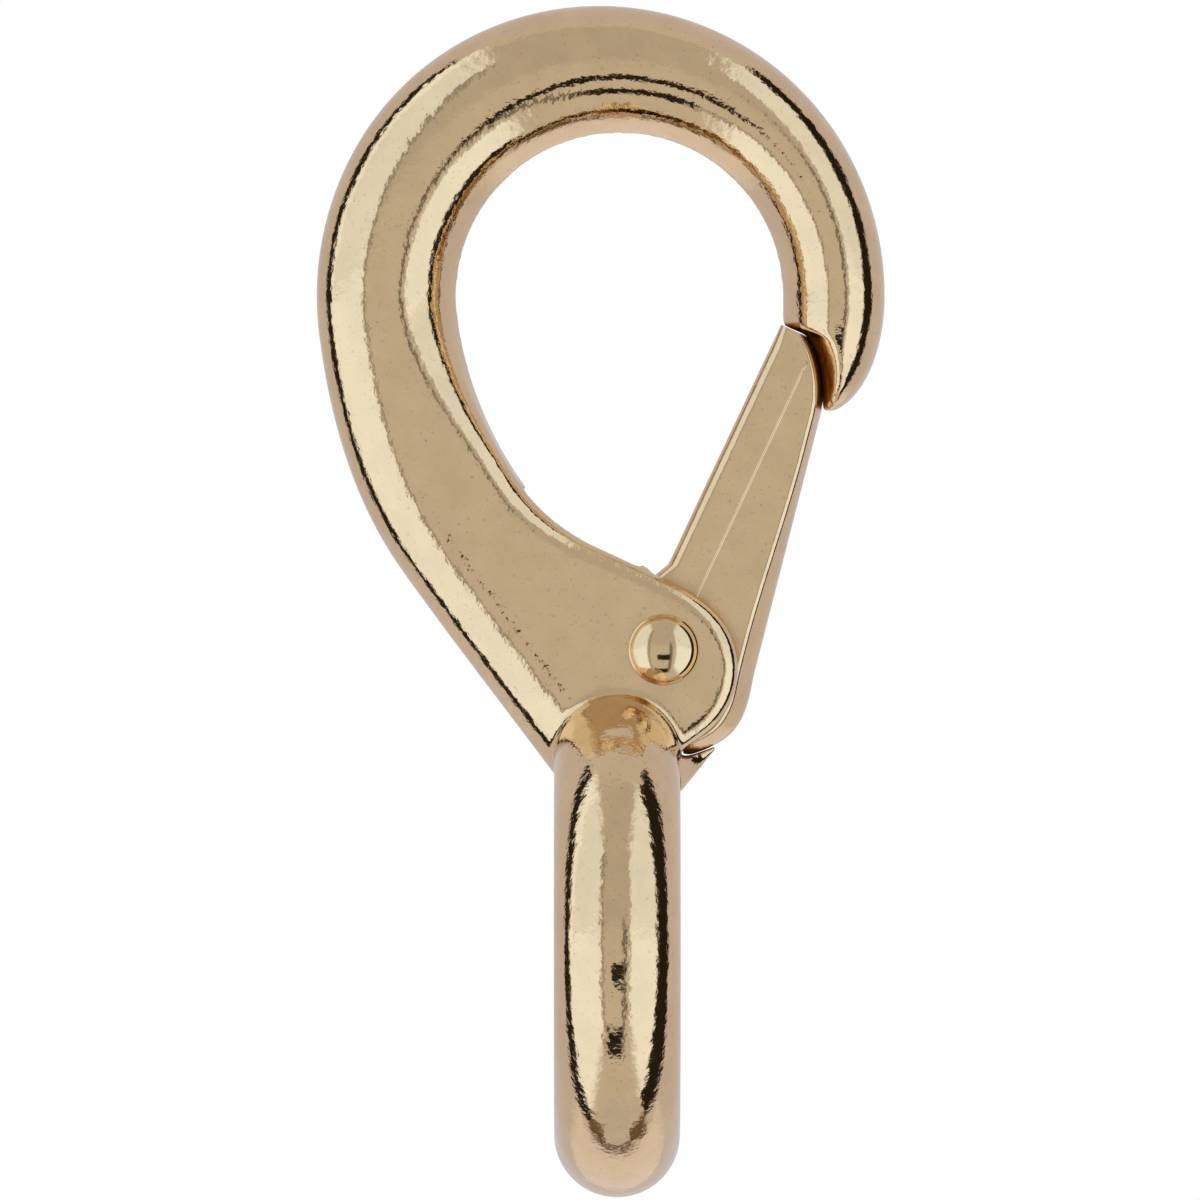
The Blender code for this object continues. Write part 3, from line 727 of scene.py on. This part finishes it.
def plated(name, colour, hollow_shade, roughness, peel, waves, mottle=0.05):
    """Bright plating over cast metal: fine peel, slow waves, mottling, and painted shade in hollows, a
    deeper orange-brown that ambient occlusion mixes in.
    """
    material = bpy.data.materials.new(name)
    material.use_nodes = True
    tree = material.node_tree
    link = tree.links.new
    shader = tree.nodes["Principled BSDF"]
    shader.inputs["Metallic"].default_value = 1.0
    place = node(tree, "ShaderNodeTexCoord").outputs["Object"]

    def noise(scale, detail, rough=0.5):
        made = node(tree, "ShaderNodeTexNoise", Scale=scale, Detail=detail, Roughness=rough)
        link(place, made.inputs["Vector"])
        return made.outputs["Fac"]

    def ramp(value, low, high, to_low=0.0, to_high=1.0):
        made = node(tree, "ShaderNodeMapRange",
                    **{"From Min": low, "From Max": high, "To Min": to_low, "To Max": to_high})
        link(value, made.inputs["Value"])
        return made.outputs["Result"]

    def blend_to(factor, under, over):
        made = node(tree, "ShaderNodeMix", data_type="RGBA")
        link(factor, made.inputs["Factor"])
        if isinstance(under, tuple):
            made.inputs["A"].default_value = (*under, 1)
        else:
            link(under, made.inputs["A"])
        made.inputs["B"].default_value = (*over, 1)
        return made.outputs["Result"]

    tint = blend_to(ramp(noise(MOTTLE_NOISE, 3), 0.35, 0.65), tuple(c * (1 - mottle) for c in colour),
                    tuple(min(1, c * (1 + mottle / 2)) for c in colour))
    speck = tuple(c * SPECK_SHADE for c in colour)
    tint = blend_to(ramp(noise(SPECK_NOISE, 2, 0.6), 0.62, 0.76), tint, speck)
    # Painted shade: where ambient occlusion finds a recess, the colour turns to the hollow colour. The
    # same mask also dulls the roughness there.
    open_air = node(tree, "ShaderNodeAmbientOcclusion", samples=8, Distance=HOLLOW_DEPTH)
    shaded_hollows = ramp(open_air.outputs["AO"], 0.30, 0.78, 1.0, 0.0)
    link(blend_to(shaded_hollows, tint, hollow_shade), shader.inputs["Base Color"])

    duller = node(tree, "ShaderNodeMath", operation="MULTIPLY_ADD")
    link(shaded_hollows, duller.inputs[0])
    duller.inputs[1].default_value = HOLLOW_DULLNESS
    link(ramp(noise(DULL_NOISE, 4), 0.3, 0.7, roughness * 0.75, roughness * 1.3), duller.inputs[2])
    link(duller.outputs[0], shader.inputs["Roughness"])

    slow = node(tree, "ShaderNodeBump", Strength=1.0, Distance=waves)
    link(noise(WAVE_NOISE, 2), slow.inputs["Height"])
    fine = node(tree, "ShaderNodeBump", Strength=1.0, Distance=peel)
    link(noise(PEEL_NOISE, 2.5), fine.inputs["Height"])
    link(slow.outputs["Normal"], fine.inputs["Normal"])
    link(fine.outputs["Normal"], shader.inputs["Normal"])
    return material


def dress(piece, material):
    piece.data.materials.clear()
    piece.data.materials.append(material)


# ---------------------------------------------------------------- studio


def studio_world():
    """Soft boxes with dark gaps behind them, in a pale warm room; white where the camera looks past."""
    world = bpy.data.worlds.new("studio")
    bpy.context.scene.world = world
    world.use_nodes = True
    tree = world.node_tree
    link = tree.links.new
    background = tree.nodes["Background"]
    split = node(tree, "ShaderNodeSeparateXYZ")
    link(node(tree, "ShaderNodeTexCoord").outputs["Generated"], split.inputs[0])
    x, y, z = split.outputs

    def math(operation, a, b=None):
        made = node(tree, "ShaderNodeMath", operation=operation)
        for source, socket in zip((a, b), made.inputs):
            if isinstance(source, (int, float)):
                socket.default_value = source
            elif source is not None:
                link(source, socket)
        return made.outputs[0]

    def over(a, b):
        """a / |b|, where a direction meets a wall one unit away along b."""
        return math("DIVIDE", a, math("MAXIMUM", math("ABSOLUTE", b), 1e-4))

    def between(source, low, high, soft):
        """1 from low to high, with soft ends."""
        up = node(tree, "ShaderNodeMapRange", interpolation_type="SMOOTHSTEP",
                  **{"From Min": low - soft, "From Max": low + soft})
        down = node(tree, "ShaderNodeMapRange", interpolation_type="SMOOTHSTEP",
                    **{"From Min": high - soft, "From Max": high + soft, "To Min": 1.0, "To Max": 0.0})
        link(source, up.inputs["Value"])
        link(source, down.inputs["Value"])
        return math("MULTIPLY", up.outputs["Result"], down.outputs["Result"])

    def lay(under, colour, masks, strength=1.0):
        """The colour over what is under it, where all the masks are 1."""
        mask = masks[0]
        for other in masks[1:]:
            mask = math("MULTIPLY", mask, other)
        mixed = node(tree, "ShaderNodeMix", data_type="RGBA")
        link(math("MULTIPLY", mask, strength), mixed.inputs["Factor"])
        link(under, mixed.inputs["A"])
        mixed.inputs["B"].default_value = (*colour, 1)
        return mixed.outputs["Result"]

    left, right = math("LESS_THAN", x, 0), math("GREATER_THAN", x, 0)
    front = math("LESS_THAN", y, 0)
    below = math("LESS_THAN", z, 0)
    side_depth, side_height = over(y, x), over(z, x)
    ahead_x, ahead_z = over(x, y), over(z, y)
    level_depth, level_x = over(y, z), over(x, z)

    behind = node(tree, "ShaderNodeMapRange", interpolation_type="SMOOTHSTEP",
                  **{"From Min": -0.1, "From Max": 0.35})
    link(y, behind.inputs["Value"])
    walls = node(tree, "ShaderNodeMix", data_type="RGBA")
    link(behind.outputs["Result"], walls.inputs["Factor"])
    walls.inputs["A"].default_value = (*ROOM, 1)
    walls.inputs["B"].default_value = (*REAR, 1)
    light = walls.outputs["Result"]

    # Below: a brown band under the snap, a pale one behind it.
    for colour, near, far, soft, width, width_soft in ((BROWN, 0.10, 0.36, 0.05, 0.7, 0.1),
                                                       (BLUSH, 0.42, 1.8, 0.08, 1.2, 0.3)):
        light = lay(light, colour, [below, between(level_depth, near, far, soft),
                                    between(level_x, -width, width, width_soft)])

    # Either side: the dark gap, then the soft box over it.
    tall, fading = between(side_height, -1.5, 1.5, 0.08), between(side_height, -1.6, 1.9, 0.4)
    for side, near, far in ((left, 0.13, 0.39), (right, -0.20, 0.29)):
        light = lay(light, DARK, [side, between(side_depth, near, far, 0.05), tall])
    for side, near, near_soft, far in ((left, -1.62, 0.16, 0.10), (right, -2.2, 0.2, -0.23)):
        light = lay(light, BOX, [side, between(side_depth, near, 2, near_soft),
                                 between(side_depth, -9, far, 0.04), fading])

    # In front: dark things that show in the flat faces.
    light = lay(light, DARK, [front, between(ahead_z, 0.14, 6.0, 0.12)], 0.14)
    for across, up, up_soft, strength in (((-0.58, -0.48), (-1.3, 1.0), 0.1, 0.4),
                                          ((0.19, 0.30), (-1.3, 0.2), 0.1, 0.7),
                                          ((-0.19, 0.22), (-0.33, -0.15), 0.02, 1.0),
                                          ((-0.42, 0.2), (-1.25, -0.80), 0.05, 1.0)):
        light = lay(light, DARK, [front, between(ahead_x, *across, 0.03), between(ahead_z, *up, up_soft)],
                    strength)

    seen = node(tree, "ShaderNodeLightPath")
    choose = node(tree, "ShaderNodeMix", data_type="RGBA")
    link(seen.outputs["Is Camera Ray"], choose.inputs["Factor"])
    link(light, choose.inputs["A"])
    choose.inputs["B"].default_value = (1, 1, 1, 1)
    link(choose.outputs["Result"], background.inputs["Color"])


def floor():
    """A plain pale floor well below the hanging snap."""
    half, drop, cells = 0.30, 1.1, 12
    bm = bmesh.new()
    bmesh.ops.create_grid(bm, x_segments=cells, y_segments=cells, size=half,
                          matrix=Matrix.Translation((0, 0, body_low.z - drop)))
    mesh = bpy.data.meshes.new("floor")
    bm.to_mesh(mesh)
    bm.free()
    ground = add("floor", mesh)
    material = bpy.data.materials.new("pale_floor")
    material.use_nodes = True
    shader = material.node_tree.nodes["Principled BSDF"]
    shader.inputs["Base Color"].default_value = (*PALE_FLOOR, 1)
    shader.inputs["Roughness"].default_value = 0.8
    mesh.materials.append(material)


def camera():
    """Square on to the hook from the front through a long lens."""
    view = bpy.data.cameras.new("camera")
    distance, frame_side, aim = 1.3, 0.0925, (-0.0015, -0.03597)
    view.sensor_width = 36
    view.lens = view.sensor_width * distance / frame_side
    view.clip_end = 10
    obj = bpy.data.objects.new("camera", view)
    bpy.context.scene.collection.objects.link(obj)
    obj.location = (aim[0], -distance, aim[1])
    obj.rotation_euler = (pi / 2, 0, 0)
    bpy.context.scene.camera = obj


def main():
    bpy.context.scene.view_settings.view_transform = "Standard"
    camera()
    studio_world()
    floor()

    casting = hook_casting()
    dress(casting, plated("cast_plating", GOLD, HOLLOW_SHADE_GOLD, 0.07, 0.000032, 0.00006))
    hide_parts("hook_body")
    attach(casting, "hook")

    gate = gate_piece()
    dress(gate, plated("gate_plating", GOLD, HOLLOW_SHADE_GOLD, 0.10, 0.000020, 0.00004))
    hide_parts("gate")
    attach(gate, "gate")

    rivet = rivet_piece()
    polished = plated("rivet_plating", GOLD, HOLLOW_SHADE_GOLD, 0.08, 0.000006, 0.000012, 0.03)
    dress(rivet, polished)
    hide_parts("pivot_rivet")
    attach(rivet, "hook")

    spring, reach = spring_piece()
    drawn = plated("spring_wire_steel", STEEL, HOLLOW_SHADE_STEEL, 0.25, 0.000004, 0.00001)
    dress(spring, drawn)
    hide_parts("torsion_spring")
    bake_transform(spring)


main()
